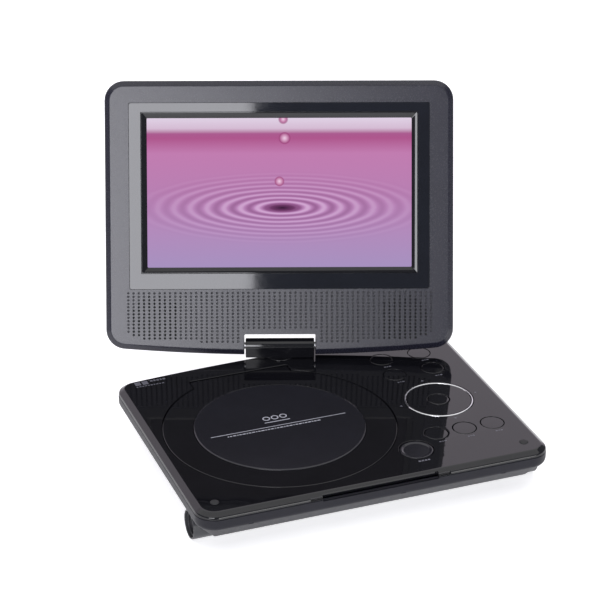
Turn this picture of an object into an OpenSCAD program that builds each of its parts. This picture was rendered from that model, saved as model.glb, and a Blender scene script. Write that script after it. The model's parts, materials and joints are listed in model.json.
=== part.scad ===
// Portable DVD player with a swivelling 7 inch screen, built as separate pieces.
// Millimetres. +X is the user's right, +Y the back, +Z up.
// The origin lies on the resting plane, below the middle of the base.
// The screen stands open and turned a little to one side; every joint is at zero there.

/* [Case] */
// Width of the base and of the screen lid
case_w = 204; // [202:0.5:206]
// Depth of the base at its middle, and length of the lid
case_d = 160.6; // [160:0.2:162]
// How far the hinge edge bulges out at its middle
edge_bow = 4.7; // [3:0.1:5]
// Radius of the case corners in plan
corner_r = 11.5; // [9:0.5:13]
// Height of the flat top of the base above the resting plane
top_z = 25.6; // [25.4:0.1:26]
// Depth of the glossy top cover, down to the seam with the lower housing
cover_depth = 3.6; // [3.2:0.1:3.8]
// Slope left around the flat top, measured inward
bevel_w = 3.3; // [2.5:0.1:3.5]
// Run of the chamfer under the lower housing
belly_run = 11.3; // [10:0.1:12]
// Gap between the flat underside and the resting plane
foot_h = 5.3; // [5.1:0.1:5.5]

/* [Screen] */
// Opening angle of the screen from closed
screen_open = 113.2; // [60:0.1:180]
// Turn of the screen about the vertical, negative is clockwise from above
screen_turn = -20; // [-90:1:20]
// Thickness of the screen lid
lid_t = 11.4; // [11.2:0.1:11.6]
// Width of the visible picture (7 inch, 16:9)
picture_w = 154.08; // [150:0.02:156]
// Height of the visible picture
picture_h = 86.58; // [84:0.02:88]
// Height of the picture's middle above the hinge line
picture_y = 89.9; // [89:0.1:91]
// Spacing of the speaker holes across
grille_dx = 3.06; // [2.8:0.02:3.4]
// Spacing of the speaker holes up and down
grille_dy = 2.04; // [1.9:0.02:2.3]

/* [Hinge] */
// Height of the hinge line above the flat top
hinge_rise = 6.5; // [6.5:0.1:6.8]
// Distance of the hinge line from the rear edge
hinge_back = 5.3; // [5.2:0.1:5.5]
// Length of the hinge barrel
barrel_len = 39; // [36:0.5:40]
// Radius of the hinge barrel
barrel_r = 4.4; // [4.2:0.1:4.5]
// Radius of the turning flange below the barrel
flange_r = 8.2; // [7.8:0.1:8.4]

/* [Disc door] */
// Middle of the disc door, from the middle of the base
door_x = -29.5; // [-30:0.1:-29]
// Middle of the disc door, front to back
door_y = -3.8; // [-4:0.1:-3.6]
// Radius of the round part of the door
door_r = 65.4; // [65:0.1:65.6]
// Radius of the matt panel set into the door
panel_r = 48; // [40:0.5:50]

/* [Controls] */
// Radius of the seven round buttons
button_r = 6.6; // [6:0.1:6.8]
// Radius of the four-way pad
pad_r = 19.8; // [19:0.1:20]
// Radius of the OPEN button
open_r = 9.3; // [9:0.1:9.6]
// Travel of the buttons and of the pad
button_travel = 0.5; // [0.4:0.05:0.6]

/* [Hidden] */
$fn = 64;
seam_z = top_z - cover_depth;
wall = 1.8;
cover_wall = 2;
fit = 0.05;
gap = 0.3;
skin = 0.1;
belly_z = foot_h + belly_run;
floor_z = foot_h + wall;
cover_inside_z = top_z - cover_wall;
bow_r = pow(case_w / 2, 2) / (2 * edge_bow);

hinge_y = case_d / 2 - hinge_back;
hinge_z = top_z + hinge_rise;
boss_r = flange_r + 1.4;
post_r = 5;
post_bore_r = 3.2;
post_low_z = top_z - 8.2;
shaft_r = 2;
flange_t = 0.6;

lid_face = lid_t / 2;
lid_wall = 2.2;
lid_skin_front = 2;
lid_skin_back = 1.5;
lid_low = -hinge_back;
lid_mid = case_d / 2 + lid_low;
lid_bevel_w = 3;
lid_bevel_t = 2.4;
notch_w = barrel_len + 2.8;
notch_top = 7.4;
notch_wall = 1.8;
bezel_half_w = 88;
bezel_low = 33.4;
bezel_high = 142.6;
rim_border = 3.9;
rim_lip = 0.3;
panel_w = 164.9;
panel_h = 100;
speaker_x = 72;
speaker_y = 17;
speaker_r = 12.5;
grille_r = 11.6;
hole_r = 0.55;
lid_screw_at = [for (side = [-1, 1], y = [8, 75, 146]) [side * 92, y]];

door_under_z = cover_inside_z;
door_face_z = top_z - 0.2;
door_gap = 0.5;
door_left = door_x - 31;
door_right = door_x + 28.8;
door_back = case_d / 2 - 18.5;
door_pin_y = door_back - 1.6;
door_pin_z = door_under_z + 0.1;
door_pin_r = 1.2;

tray_r = 63.4;
tray_wall = 1.2;
tray_floor_z = 18.2;
tray_floor_t = 1;
disc_rest_z = tray_floor_z + 2;
hub_hole_r = 17;

drive_z = 11.5;
plate_z = 15.2;
plate_t = 1.2;
rod_r = 1.5;
rod_reach = 17;
screw_reach = 26;
screw_r = 1.2;
sled_home = 24;
sled_low = door_y + 8;
sled_high = door_y + 66;

tube_r = 8.2;
tube_y = -57;
tube_len = 202;
cell_r = 7.1;
cell_len = 50;
cell_pitch = cell_len + 0.6;
cap_depth = 1.5;

button_row_y = -41.8;
button_at = [
    [48.8, button_row_y], [65.9, button_row_y], [83, button_row_y],
    [54, 28.9], [78, 28.9], [54, 48.7], [78, 48.7]
];
pad_at = [65.9, -6.8];
ok_r = 6.1;
open_at = [31.4, -54.3];
open_reach = norm(open_at - [door_x, door_y]);
latch_turn = atan2(open_at[1] - door_y, open_at[0] - door_x);
board_z = 14.8;
board_t = 1.2;
switch_top_z = board_z + board_t + 3.3;
stem_z = switch_top_z + button_travel + 0.2;
cap_z = top_z - 0.05;
under_cover_z = cover_inside_z - 0.2;
pad_low_z = stem_z + 1;
latch_z = stem_z + 0.7;
latch_t = 0.8;

jack_z = board_z + board_t + 1.8;
audio_jack_y = [-34, -22, -10];
dc_jack_y = 34;
side_in_x = case_w / 2 - wall;
wheel_y = 8;
wheel_r = 8;
wheel_x = case_w / 2 + 1.2 - wheel_r;
wheel_z = board_z + board_t + 0.4;
slider_y = 54;

recess_half_w = 33.6;
recess_step_half_w = 40.7;
bumper_at = [[-90, -67.5], [90, -67.5]];
base_screw_at = [for (x = [-93, 93], y = [-44.6, 50]) [x, y]];
foot_at = [[-80, 64], [80, 64]];
grommet_at = [[door_x - 17.5, -19], [door_x + 17.5, -19], [door_x, 68]];
tray_post_at = [for (a = [45, 150, 210, 320]) [door_x + 52 * cos(a), door_y + 52 * sin(a)]];
vent_at = [-74, 13, 72];

// ---- shared shapes ----

module rounded_rect(w, d, r) {
    square([w - 2 * r, d], center = true);
    square([w, d - 2 * r], center = true);
    for (x = [-1, 1], y = [-1, 1])
        translate([x * (w / 2 - r), y * (d / 2 - r)]) circle(r, $fn = 32);
}

// Outline of the base, with its bowed edge at the back.
module case_plan(inset) {
    intersection() {
        rounded_rect(case_w - 2 * inset, case_d - 2 * inset, max(corner_r - inset, 1));
        translate([0, case_d / 2 - inset - bow_r]) circle(bow_r, $fn = 400);
    }
}

// Outline of the lid in its own frame: the bowed edge is at the hinge.
module lid_plan(inset) {
    translate([0, lid_mid]) mirror([0, 1]) case_plan(inset);
}

// Sloped walls through levels of [height, inset], lowest first.
module case_levels(levels) {
    hull() for (level = levels)
        translate([0, 0, level[0] - (level == levels[0] ? 0 : skin)])
            linear_extrude(skin) case_plan(level[1]);
}

module lid_levels(levels) {
    hull() for (level = levels)
        translate([0, 0, level[0] - (level == levels[0] ? 0 : skin)])
            linear_extrude(skin) lid_plan(level[1]);
}

module block(x, y, z) {
    translate([x[0], y[0], z[0]]) cube([x[1] - x[0], y[1] - y[0], z[1] - z[0]]);
}

module disc(r, z) {
    translate([0, 0, z[0]]) cylinder(r = r, h = z[1] - z[0]);
}

module ring(outer, inner, z) {
    difference() {
        disc(outer, z);
        disc(inner, [z[0] - 1, z[1] + 1]);
    }
}

module along_x(r, x) {
    translate([x[0], 0, 0]) rotate([0, 90, 0]) cylinder(r = r, h = x[1] - x[0]);
}

module along_y(r, y) {
    translate([0, y[0], 0]) rotate([-90, 0, 0]) cylinder(r = r, h = y[1] - y[0]);
}

module at_hinge() {
    translate([0, hinge_y, 0]) children();
}

module at_door() {
    translate([door_x, door_y, 0]) children();
}

// The swivelling head: origin on the hinge line, turned with the screen.
module head_place() {
    translate([0, hinge_y, hinge_z]) rotate([0, 0, screen_turn]) children();
}

// The lid: X along the hinge, Y up the lid, Z out of the picture.
module lid_place() {
    head_place() rotate([180 - screen_open, 0, 0]) children();
}

// ---- base shells ----

module finger_recess() {
    block([-recess_half_w, recess_half_w], [-case_d, -case_d / 2 + 3], [seam_z - 0.8, top_z - 0.8]);
    block([-recess_step_half_w, recess_step_half_w], [-case_d, -case_d / 2 + 1.1],
        [seam_z + 0.6, top_z - 1.3]);
}

module side_openings() {
    for (y = audio_jack_y)
        translate([0, y, jack_z]) along_x(3.1, [side_in_x - 4, case_w]);
    translate([0, dc_jack_y, jack_z]) along_x(3.7, [side_in_x - 4, case_w]);
    block([wheel_x + 1.6, case_w], [wheel_y - 8.4, wheel_y + 8.4], [wheel_z - 0.3, wheel_z + 2.9]);
    block([side_in_x - 1, case_w], [slider_y - 3.8, slider_y + 3.8], [17, 19.4]);
}

module inner_posts() {
    for (p = base_screw_at)
        translate([p[0], p[1], 0]) disc(2.8, [10.6, seam_z - 5.8]);
    for (p = grommet_at) translate([p[0], p[1], 0]) {
        disc(2.6, [floor_z - 0.5, 12.4]);
        disc(1.5, [12, plate_z + plate_t + 0.6]);
    }
    for (p = tray_post_at)
        translate([p[0], p[1], 0]) disc(2.5, [floor_z - 0.5, tray_floor_z]);
    for (x = [44, 84], y = [-36, 56])
        translate([x, y, 0]) disc(1.6, [floor_z - 0.5, 8]);
    translate([wheel_x, wheel_y, 0]) disc(1, [11, wheel_z + 2.4]);
}

module base_bottom() color([0.22, 0.22, 0.24]) {
    difference() {
        union() {
            difference() {
                union() {
                    case_levels([[foot_h, belly_run], [belly_z, 0], [seam_z, 0]]);
                    at_hinge() disc(boss_r, [12, seam_z]);
                }
                difference() {
                    case_levels([[floor_z, belly_run + 1.2], [belly_z + 0.4, wall], [seam_z + 1, wall]]);
                    translate([0, tube_y, tube_r]) along_x(tube_r + 1.5, [-case_w, case_w]);
                }
                at_hinge() disc(boss_r - 1.4, [13.5, seam_z + 1]);
            }
            inner_posts();
        }
        translate([0, tube_y, tube_r]) along_x(tube_r + fit, [-case_w, case_w]);
        block([-recess_half_w, recess_half_w], [-case_d, -case_d / 2 + 1.3], [seam_z - 0.8, seam_z + 1]);
        for (x = vent_at)
            block([x - 1.5, x + 1.5], [-case_d, -case_d / 2 + 0.9], [belly_z - 1.4, belly_z + 0.4]);
        for (p = base_screw_at) translate([p[0], p[1], 0]) {
            disc(1.25, [0, seam_z]);
            disc(2.4, [0, 12.6]);
        }
        for (p = foot_at) translate([p[0], p[1], 0]) disc(6.1, [0, foot_h + 0.5]);
        side_openings();
    }
}

module door_plan(grow) {
    translate([door_x, door_y]) circle(door_r + grow, $fn = 96);
    translate([door_left - grow, door_y])
        square([door_right - door_left + 2 * grow, door_back - door_y + 2.4 * grow]);
}

// Two hooks under the cover that the latch slides on.
module latch_guides() {
    at_door() rotate([0, 0, latch_turn]) for (side = [0, 1]) mirror([0, side, 0]) {
        block([66.5, 68.4], [2.4, 3.6], [latch_z - 0.6, cover_inside_z + 0.5]);
        block([66.5, 68.4], [1.2, 3.6], [latch_z - 0.6, latch_z - 0.1]);
    }
}

module base_top() color([0.04, 0.04, 0.05]) {
    difference() {
        union() {
            difference() {
                union() {
                    case_levels([[seam_z, 0], [top_z - 1.8, 0.4], [top_z, bevel_w]]);
                    at_hinge() disc(boss_r, [seam_z, top_z]);
                }
                translate([0, 0, seam_z - 1])
                    linear_extrude(cover_inside_z - seam_z + 1) {
                        case_plan(cover_wall);
                        translate([0, hinge_y]) circle(boss_r - 1.4);
                    }
            }
            block([-recess_step_half_w, recess_step_half_w],
                [-case_d / 2 + 1.95, -case_d / 2 + 4.6], [seam_z, cover_inside_z + 0.5]);
            for (p = base_screw_at)
                translate([p[0], p[1], 0]) disc(2.6, [seam_z - 5.7, cover_inside_z + 0.5]);
            latch_guides();
            for (x = [door_left - 3.4, door_right + 0.6])
                block([x, x + 2.8], [door_pin_y - 3.2, door_pin_y + 3.3], [door_pin_z - 2.6, cover_inside_z + 0.5]);
        }
        translate([0, 0, cover_inside_z - 1]) linear_extrude(4) door_plan(door_gap);
        translate([0, door_pin_y, door_pin_z])
            along_x(door_pin_r + fit, [door_left - 2.6, door_right + 2.6]);
        finger_recess();
        for (p = base_screw_at) translate([p[0], p[1], 0]) disc(0.9, [0, seam_z + 0.6]);
        for (p = button_at) translate([p[0], p[1], 0]) disc(button_r + gap, [20, 30]);
        translate([pad_at[0], pad_at[1], 0]) disc(pad_r + gap, [20, 30]);
        translate([open_at[0], open_at[1], 0]) disc(open_r + 0.5, [20, 30]);
        at_hinge() disc(post_r + fit, [20, 30]);
        for (p = bumper_at) translate([p[0], p[1], 0]) disc(2.5, [top_z - 1.2, 30]);
    }
}

module base_feet() color([0.1, 0.1, 0.1]) {
    for (p = foot_at) translate([p[0], p[1], 0]) disc(6, [0, foot_h + 0.45]);
}

module base_screws() color("silver") {
    for (p = base_screw_at) translate([p[0], p[1], 0]) difference() {
        union() {
            disc(2.2, [11, 12.5]);
            disc(0.85, [12.5, seam_z - 0.4]);
        }
        block([-1.6, 1.6], [-0.3, 0.3], [10, 11.7]);
        block([-0.3, 0.3], [-1.6, 1.6], [10, 11.7]);
    }
}

module lid_bumpers() color([0.16, 0.16, 0.17]) {
    for (p = bumper_at) translate([p[0], p[1], 0]) {
        disc(2.45, [top_z - 1.15, top_z + 0.2]);
        translate([0, 0, top_z + 0.2]) cylinder(r1 = 2.45, r2 = 1.8, h = 0.3);
    }
}

// ---- battery tube under the front ----

module battery_tube() color([0.2, 0.2, 0.22]) {
    translate([0, tube_y, tube_r]) difference() {
        along_x(tube_r, [-tube_len / 2, tube_len / 2]);
        along_x(tube_r - 0.9, [-tube_len / 2 - 1, tube_len / 2 + 1]);
    }
}

module battery_caps() color([0.08, 0.09, 0.1]) {
    for (side = [0, 1]) mirror([side, 0, 0]) translate([0, tube_y, tube_r]) difference() {
        along_x(tube_r - 0.95, [1.5 * cell_pitch + 1, tube_len / 2 - cap_depth]);
        along_x(tube_r - 2.2, [tube_len / 2 - 2 * cap_depth, tube_len]);
    }
}

module battery_cells() color([0.3, 0.55, 0.4]) {
    for (n = [-1:1]) translate([n * cell_pitch, tube_y, tube_r]) {
        along_x(cell_r, [-cell_len / 2, cell_len / 2 - 1.4]);
        along_x(2.6, [cell_len / 2 - 1.4, cell_len / 2]);
    }
}

module battery_contacts() color("gold") {
    for (side = [-1, 1]) translate([side * (1.5 * cell_pitch + 0.4), tube_y, tube_r])
        along_x(5, [-0.3, 0.3]);
}

// ---- circuit boards, switches and sockets ----

module main_board() color([0.05, 0.35, 0.2]) {
    difference() {
        block([40, 88], [-40, 60], [8, 9.6]);
        for (x = [44, 84], y = [-36, 56]) translate([x, y, 0]) disc(1, [7, 11]);
    }
}

module board_chips() color([0.1, 0.1, 0.11]) {
    block([54, 74], [-6, 14], [9.6, 11]);
    block([52, 66], [22, 30], [9.6, 10.8]);
    block([70, 80], [-28, -18], [9.6, 10.8]);
}

module button_board() color([0.05, 0.35, 0.2]) {
    difference() {
        block([43, 97], [-46.5, 57], [board_z, board_z + board_t]);
        block([86.4, 98], [wheel_y - 9, wheel_y + 9], [board_z - 1, board_z + 3]);
        for (p = [base_screw_at[2], base_screw_at[3]])
            block([p[0] - 3.6, 98], [p[1] - 3.6, p[1] + 3.6], [board_z - 1, board_z + 3]);
        block([89.4, 98], [-48, -44], [board_z - 1, board_z + 3]);
        for (y = audio_jack_y) jack_notch(y, 3.2);
        jack_notch(dc_jack_y, 3.8);
    }
}

// the barrel of each socket sinks into the edge of the board
module jack_notch(y, half) {
    block([side_in_x - 14.5, 98], [y - half, y + half], [board_z - 1, board_z + 3]);
}

module tact_switches() color([0.15, 0.15, 0.16]) {
    pad_switch_at = concat([pad_at], [for (a = [0:90:270]) pad_at + 12 * [cos(a), sin(a)]]);
    for (p = concat(button_at, pad_switch_at)) translate([p[0], p[1], 0]) {
        block([-3, 3], [-3, 3], [board_z + board_t, switch_top_z - 0.6]);
        disc(1.4, [switch_top_z - 0.6, switch_top_z]);
    }
}

module audio_jacks() color([0.12, 0.12, 0.13]) {
    for (y = audio_jack_y) translate([0, y, jack_z]) difference() {
        union() {
            block([side_in_x - 13, side_in_x - 3], [-4, 4], [-1.8, 3.2]);
            along_x(2.9, [side_in_x - 13, case_w / 2 - 0.2]);
        }
        along_x(1.8, [side_in_x - 12.5, case_w]);
    }
}

module dc_jack() color([0.1, 0.1, 0.11]) {
    translate([0, dc_jack_y, jack_z]) difference() {
        union() {
            block([side_in_x - 14, side_in_x - 3], [-4.8, 4.8], [-1.8, 3.6]);
            along_x(3.5, [side_in_x - 14, case_w / 2 - 0.2]);
        }
        difference() {
            along_x(2.75, [side_in_x - 10.5, case_w]);
            along_x(0.7, [side_in_x - 12, case_w / 2 - 1.2]);
        }
    }
}

// ---- disc well and drive ----

module disc_tray() color([0.13, 0.13, 0.14]) {
    at_door() difference() {
        union() {
            disc(tray_r + tray_wall, [tray_floor_z, cover_inside_z - 0.2]);
            disc(tray_r + 4, [cover_inside_z - 1, cover_inside_z - 0.2]);
        }
        disc(tray_r, [tray_floor_z + tray_floor_t, 30]);
        disc(hub_hole_r, [10, 30]);
        block([-11, 11], [14, 62], [10, tray_floor_z + tray_floor_t + skin]);
        rotate([0, 0, latch_turn]) block([tray_r - 1, tray_r + 6], [-4, 4], [19.3, 30]);
        block([-40, 34], [door_pin_y - door_y - 4, 80], [19.3, 30]);
    }
}

module drive_chassis() color([0.6, 0.6, 0.62]) {
    difference() {
        union() {
            block([door_x - 21, door_x + 21], [-24, 72.5], [plate_z, plate_z + plate_t]);
            for (side = [-1, 1], y = [sled_low - 1.5, sled_high + 2])
                block([door_x + side * rod_reach - 3, door_x + side * rod_reach + 3],
                    [y - 1.5, y + 1.5], [drive_z - 2.4, plate_z + 0.5]);
            for (y = [sled_low - 1, sled_high + 0.5])
                block([door_x + 19, door_x + screw_reach + 4.6], [y, y + 1.5],
                    [drive_z - 3.8, plate_z + plate_t]);
        }
        at_door() disc(4, [10, 20]);
        block([door_x - 14, door_x + 14], [door_y + 14, sled_high], [10, 20]);
        for (side = [-1, 1]) translate([door_x + side * rod_reach, 0, drive_z])
            along_y(rod_r + skin, [-30, 90]);
        translate([door_x + screw_reach, 0, drive_z]) along_y(screw_r + fit, [-30, 90]);
        for (p = grommet_at) translate([p[0], p[1], 0]) disc(1.8, [10, 20]);
    }
}

module chassis_grommets() color([0.1, 0.1, 0.1]) {
    for (p = grommet_at) translate([p[0], p[1], 0]) ring(4, 1.55, [12.4, plate_z]);
}

module spindle_motor() color([0.55, 0.55, 0.57]) {
    at_door() difference() {
        union() {
            disc(13, [9.2, plate_z]);
            disc(3.6, [plate_z, plate_z + plate_t]);
        }
        disc(1 + fit, [10, 20]);
    }
}

module guide_rods() color("silver") {
    for (side = [-1, 1]) translate([door_x + side * rod_reach, 0, drive_z])
        along_y(rod_r, [sled_low - 3, sled_high + 3.5]);
}

module sled_motor() color([0.6, 0.6, 0.6]) {
    translate([door_x + screw_reach, 0, drive_z]) difference() {
        along_y(4.1, [-12, sled_low - 1]);
        along_y(screw_r + fit, [-6, sled_low + 1]);
    }
}

module spindle_hub() color([0.1, 0.1, 0.1]) {
    at_door() {
        disc(13.5, [17.4, disc_rest_z]);
        disc(7.4, [disc_rest_z, disc_rest_z + 1.4]);
        translate([0, 0, disc_rest_z + 1.4]) cylinder(r1 = 7.4, r2 = 5.8, h = 0.6);
        disc(1, [10.2, 17.4]);
    }
}

module laser_sled() color([0.35, 0.35, 0.37]) {
    translate([door_x, door_y + sled_home, 0]) difference() {
        union() {
            block([-12.5, 12.5], [-6, 6], [9.2, 16.2]);
            block([-rod_reach - 2.8, screw_reach + 2.4], [-5, 5], [drive_z - 2.3, drive_z + 2.3]);
        }
        for (side = [-1, 1]) translate([side * rod_reach, 0, drive_z])
            along_y(rod_r + fit, [-10, 10]);
        translate([screw_reach, 0, drive_z]) along_y(screw_r + fit, [-10, 10]);
    }
}

module laser_lens() color([0.5, 0.7, 0.9]) {
    translate([door_x, door_y + sled_home, 0]) {
        disc(4.4, [16.2, 17.2]);
        disc(2.2, [17.2, 18]);
    }
}

module lead_screw() color("silver") {
    translate([door_x + screw_reach, 0, drive_z]) along_y(screw_r, [-4, sled_high + 2.6]);
}

// ---- disc door and its latch ----

module disc_door() color([0.04, 0.04, 0.05]) {
    difference() {
        translate([0, 0, door_under_z]) linear_extrude(door_face_z - door_under_z) door_plan(0);
        at_door() disc(panel_r + 0.1, [door_face_z - 0.9, 30]);
    }
    for (x = [door_left + 1.2, door_right - 3.2]) {
        block([x, x + 2], [door_pin_y - 3, door_pin_y + 1.5], [door_pin_z - 2, door_under_z + 0.5]);
    }
    translate([0, door_pin_y, door_pin_z]) {
        along_x(door_pin_r, [door_left - 2.4, door_left + 1.3]);
        along_x(door_pin_r, [door_right - 1.3, door_right + 2.4]);
    }
    at_door() rotate([0, 0, latch_turn]) {
        block([60.9, 62.1], [-2.5, 2.5], [disc_rest_z - 0.2, door_under_z + 0.5]);
        block([62, 63.2], [-2.5, 2.5], [disc_rest_z - 0.2, disc_rest_z + 0.4]);
    }
}

module door_panel() color([0.12, 0.12, 0.13]) {
    at_door() {
        disc(panel_r, [door_face_z - 0.9, top_z]);
        translate([0, 0, top_z]) cylinder(r1 = panel_r, r2 = panel_r - 0.8, h = 0.2);
    }
}

// The OPEN button's cone pushes the ring, and so the nose, away from the door.
module latch_slider() color([0.85, 0.85, 0.82]) {
    at_door() rotate([0, 0, latch_turn]) difference() {
        union() {
            block([tray_r + 0.1, open_reach - 3], [-2.2, 2.2], [latch_z, latch_z + latch_t]);
            translate([open_reach - 1.5, 0, 0]) disc(4, [latch_z, latch_z + latch_t]);
        }
        translate([open_reach - 1.5, 0, 0]) disc(2.6, [10, 30]);
    }
}

module open_button() color([0.16, 0.16, 0.17]) {
    translate([open_at[0], open_at[1], 0]) {
        difference() {
            disc(open_r, [under_cover_z, cap_z]);
            disc(open_r - 1.4, [cap_z - 0.5, 30]);
        }
        disc(open_r + 1.1, [under_cover_z - 0.6, under_cover_z]);
        translate([0, 0, latch_z + latch_t - 0.1]) cylinder(r1 = 0.9, r2 = 2.3, h = 1.4);
    }
}

// ---- buttons ----

module pad() color([0.04, 0.04, 0.05]) {
    translate([pad_at[0], pad_at[1], 0]) difference() {
        union() {
            disc(pad_r - 1.3, [pad_low_z, cap_z]);
            disc(pad_r + 1.2, [pad_low_z, under_cover_z]);
            for (a = [0:90:270])
                rotate([0, 0, a]) translate([12, 0, 0]) disc(1.2, [stem_z, pad_low_z]);
        }
        disc(ok_r + gap, [18, 30]);
    }
}

module pad_ring() color([0.85, 0.85, 0.87]) {
    translate([pad_at[0], pad_at[1], 0])
        ring(pad_r, pad_r - 1.25, [under_cover_z, top_z + 0.1]);
}

module ok_button() color([0.04, 0.04, 0.05]) {
    translate([pad_at[0], pad_at[1], 0]) {
        disc(ok_r, [stem_z, top_z]);
        disc(ok_r + 1, [stem_z, stem_z + 0.4]);
    }
}

module round_button(n) color([0.04, 0.04, 0.05]) {
    translate([button_at[n][0], button_at[n][1], 0]) {
        disc(button_r, [under_cover_z, cap_z]);
        disc(button_r + 1, [under_cover_z - 0.7, under_cover_z]);
        disc(1.5, [stem_z, under_cover_z - 0.7]);
    }
}

// ---- side controls ----

module volume_wheel() color([0.1, 0.1, 0.11]) {
    translate([wheel_x, wheel_y, 0]) difference() {
        disc(wheel_r, [wheel_z, wheel_z + 2.6]);
        disc(1 + fit, [15, 20]);
        for (a = [0:15:345])
            rotate([0, 0, a]) translate([wheel_r + 0.3, 0, 0]) disc(0.6, [15, 20]);
    }
}

module power_slider() color([0.1, 0.1, 0.11]) {
    block([side_in_x - 2.2, side_in_x - 0.3], [slider_y - 7, slider_y + 5], [16.6, 19.8]);
    difference() {
        block([side_in_x - 0.4, case_w / 2 + 0.9], [slider_y - 3.5, slider_y + 0.5], [17.3, 19.1]);
        for (n = [-1:1])
            block([case_w / 2 + 0.5, case_w], [slider_y - 1.7 + n, slider_y - 1.3 + n], [16, 20]);
    }
}

// ---- swivel and hinge ----

module swivel_post() color([0.8, 0.8, 0.82]) {
    at_hinge() difference() {
        union() {
            disc(flange_r, [top_z + 0.1, top_z + 0.1 + flange_t]);
            disc(post_r, [post_low_z, top_z + 0.1]);
        }
        disc(post_bore_r, [0, 30]);
    }
}

module swivel_washer() color("silver") {
    at_hinge() ring(7.4, post_r + 0.02, [cover_inside_z - 0.9, cover_inside_z - 0.1]);
}

module swivel_nut() color("silver") {
    at_hinge() rotate([0, 0, screen_turn]) difference() {
        translate([0, 0, cover_inside_z - 4.2]) cylinder(r = 7.4, h = 3.2, $fn = 6);
        disc(post_r + 0.02, [10, 30]);
    }
}

module hinge_barrel() color([0.03, 0.03, 0.04]) {
    head_place() difference() {
        union() {
            along_x(barrel_r, [-barrel_len / 2, barrel_len / 2]);
            block([-barrel_len / 2, barrel_len / 2], [-barrel_r, barrel_r],
                [0.1 + flange_t - hinge_rise, 0]);
        }
        for (side = [-1, 1])
            translate([side * (barrel_len / 2 - 3.5), 0, 0])
                along_x(shaft_r + fit, [-4.5, 4.5]);
        disc(post_bore_r, [-10, -2.6]);
    }
}

module tilt_brackets() color([0.7, 0.7, 0.72]) {
    lid_place() for (side = [-1, 1]) mirror([side < 0 ? 1 : 0, 0, 0]) {
        along_x(shaft_r, [barrel_len / 2 - 7.8, notch_w / 2 + 6]);
        block([notch_w / 2 + 2.2, notch_w / 2 + 16], [-1.6, 11], [-2, -0.6]);
    }
}

// ---- screen lid ----

module lid_cavity() {
    difference() {
        lid_plan(lid_wall);
        translate([-notch_w / 2 - notch_wall, lid_low - 5])
            square([notch_w + 2 * notch_wall, notch_top - lid_low + 5 + notch_wall]);
    }
}

module lid_cuts() {
    block([-notch_w / 2, notch_w / 2], [lid_low - 5, notch_top], [-20, 20]);
    along_x(shaft_r + 0.2, [-notch_w / 2 - 4, notch_w / 2 + 4]);
}

module grille_holes() {
    for (side = [-1, 1], i = [-4:4], j = [-6:6])
        if (norm([i * grille_dx, j * grille_dy]) < grille_r)
            translate([side * speaker_x + i * grille_dx, speaker_y + j * grille_dy, 0])
                cylinder(r = hole_r, h = 20, $fn = 16);
}

module lid_front() color([0.3, 0.3, 0.34]) {
    lid_place() difference() {
        union() {
            difference() {
                lid_levels([[0, 0], [lid_face - lid_bevel_t, 0], [lid_face, lid_bevel_w]]);
                translate([0, 0, -1]) linear_extrude(lid_face - lid_skin_front + 1) lid_cavity();
            }
            for (p = lid_screw_at) translate([p[0], p[1], 0]) disc(2.8, [0, lid_face - 1.5]);
        }
        block([-bezel_half_w, bezel_half_w], [bezel_low, bezel_high], [lid_face - 0.9, 20]);
        picture_window(1.5, [-20, 20]);
        lid_cuts();
        grille_holes();
        for (p = lid_screw_at) translate([p[0], p[1], 0]) disc(0.9, [-1, 3]);
    }
}

module lid_back() color([0.25, 0.25, 0.28]) {
    lid_place() difference() {
        union() {
            difference() {
                lid_levels([[-lid_face, lid_bevel_w], [lid_bevel_t - lid_face, 0], [-0.05, 0]]);
                translate([0, 0, lid_skin_back - lid_face]) linear_extrude(lid_face) lid_cavity();
            }
            for (p = lid_screw_at) translate([p[0], p[1], 0]) disc(2.8, [1 - lid_face, -0.1]);
            for (x = [-76, 76], y = [48, 130])
                translate([x, y, 0]) disc(2.5, [1 - lid_face, lid_face - 5.85]);
            for (x = [-30, 30], y = [1, 8])
                translate([x, y, 0]) disc(1.8, [1 - lid_face, -2]);
        }
        lid_cuts();
        for (p = lid_screw_at) translate([p[0], p[1], 0]) {
            disc(1.15, [-20, 1]);
            disc(2.2, [-20, 1.5 - lid_face]);
        }
    }
}

module lid_screws() color("silver") {
    lid_place() for (p = lid_screw_at) translate([p[0], p[1], 0]) difference() {
        union() {
            disc(2, [0.3 - lid_face, 1.4 - lid_face]);
            disc(0.85, [1.4 - lid_face, 2.6]);
        }
        block([-1.4, 1.4], [-0.3, 0.3], [-lid_face, 0.8 - lid_face]);
        block([-0.3, 0.3], [-1.4, 1.4], [-lid_face, 0.8 - lid_face]);
    }
}

module picture_window(border, z) {
    block([-picture_w / 2 - border, picture_w / 2 + border],
        [picture_y - picture_h / 2 - border, picture_y + picture_h / 2 + border], z);
}

module screen_bezel() color([0.03, 0.03, 0.05]) {
    lid_place() difference() {
        block([0.15 - bezel_half_w, bezel_half_w - 0.15],
            [bezel_low + 0.15, bezel_high - 0.15], [lid_face - 0.85, lid_face + 0.1]);
        picture_window(rim_border + 0.1, [-20, 20]);
    }
}

module screen_rim() color([0.02, 0.02, 0.03]) {
    lid_place() difference() {
        picture_window(rim_border, [lid_face - 0.85, lid_face + 0.2]);
        picture_window(rim_lip, [-20, 20]);
    }
}

module lcd_panel() color([0.75, 0.45, 0.7]) {
    lid_place() block([-panel_w / 2, panel_w / 2],
        [picture_y - panel_h / 2, picture_y + panel_h / 2], [lid_face - 3.4, lid_face - 2]);
}

module lcd_backlight() color([0.85, 0.85, 0.85]) {
    lid_place() block([-panel_w / 2, panel_w / 2],
        [picture_y - panel_h / 2, picture_y + panel_h / 2], [lid_face - 5.8, lid_face - 3.45]);
}

module lid_board() color([0.05, 0.35, 0.2]) {
    lid_place() block([-70, 70], [56, 120], [1.2 - lid_face + lid_skin_back, 2.4 - lid_face + lid_skin_back]);
}

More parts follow.
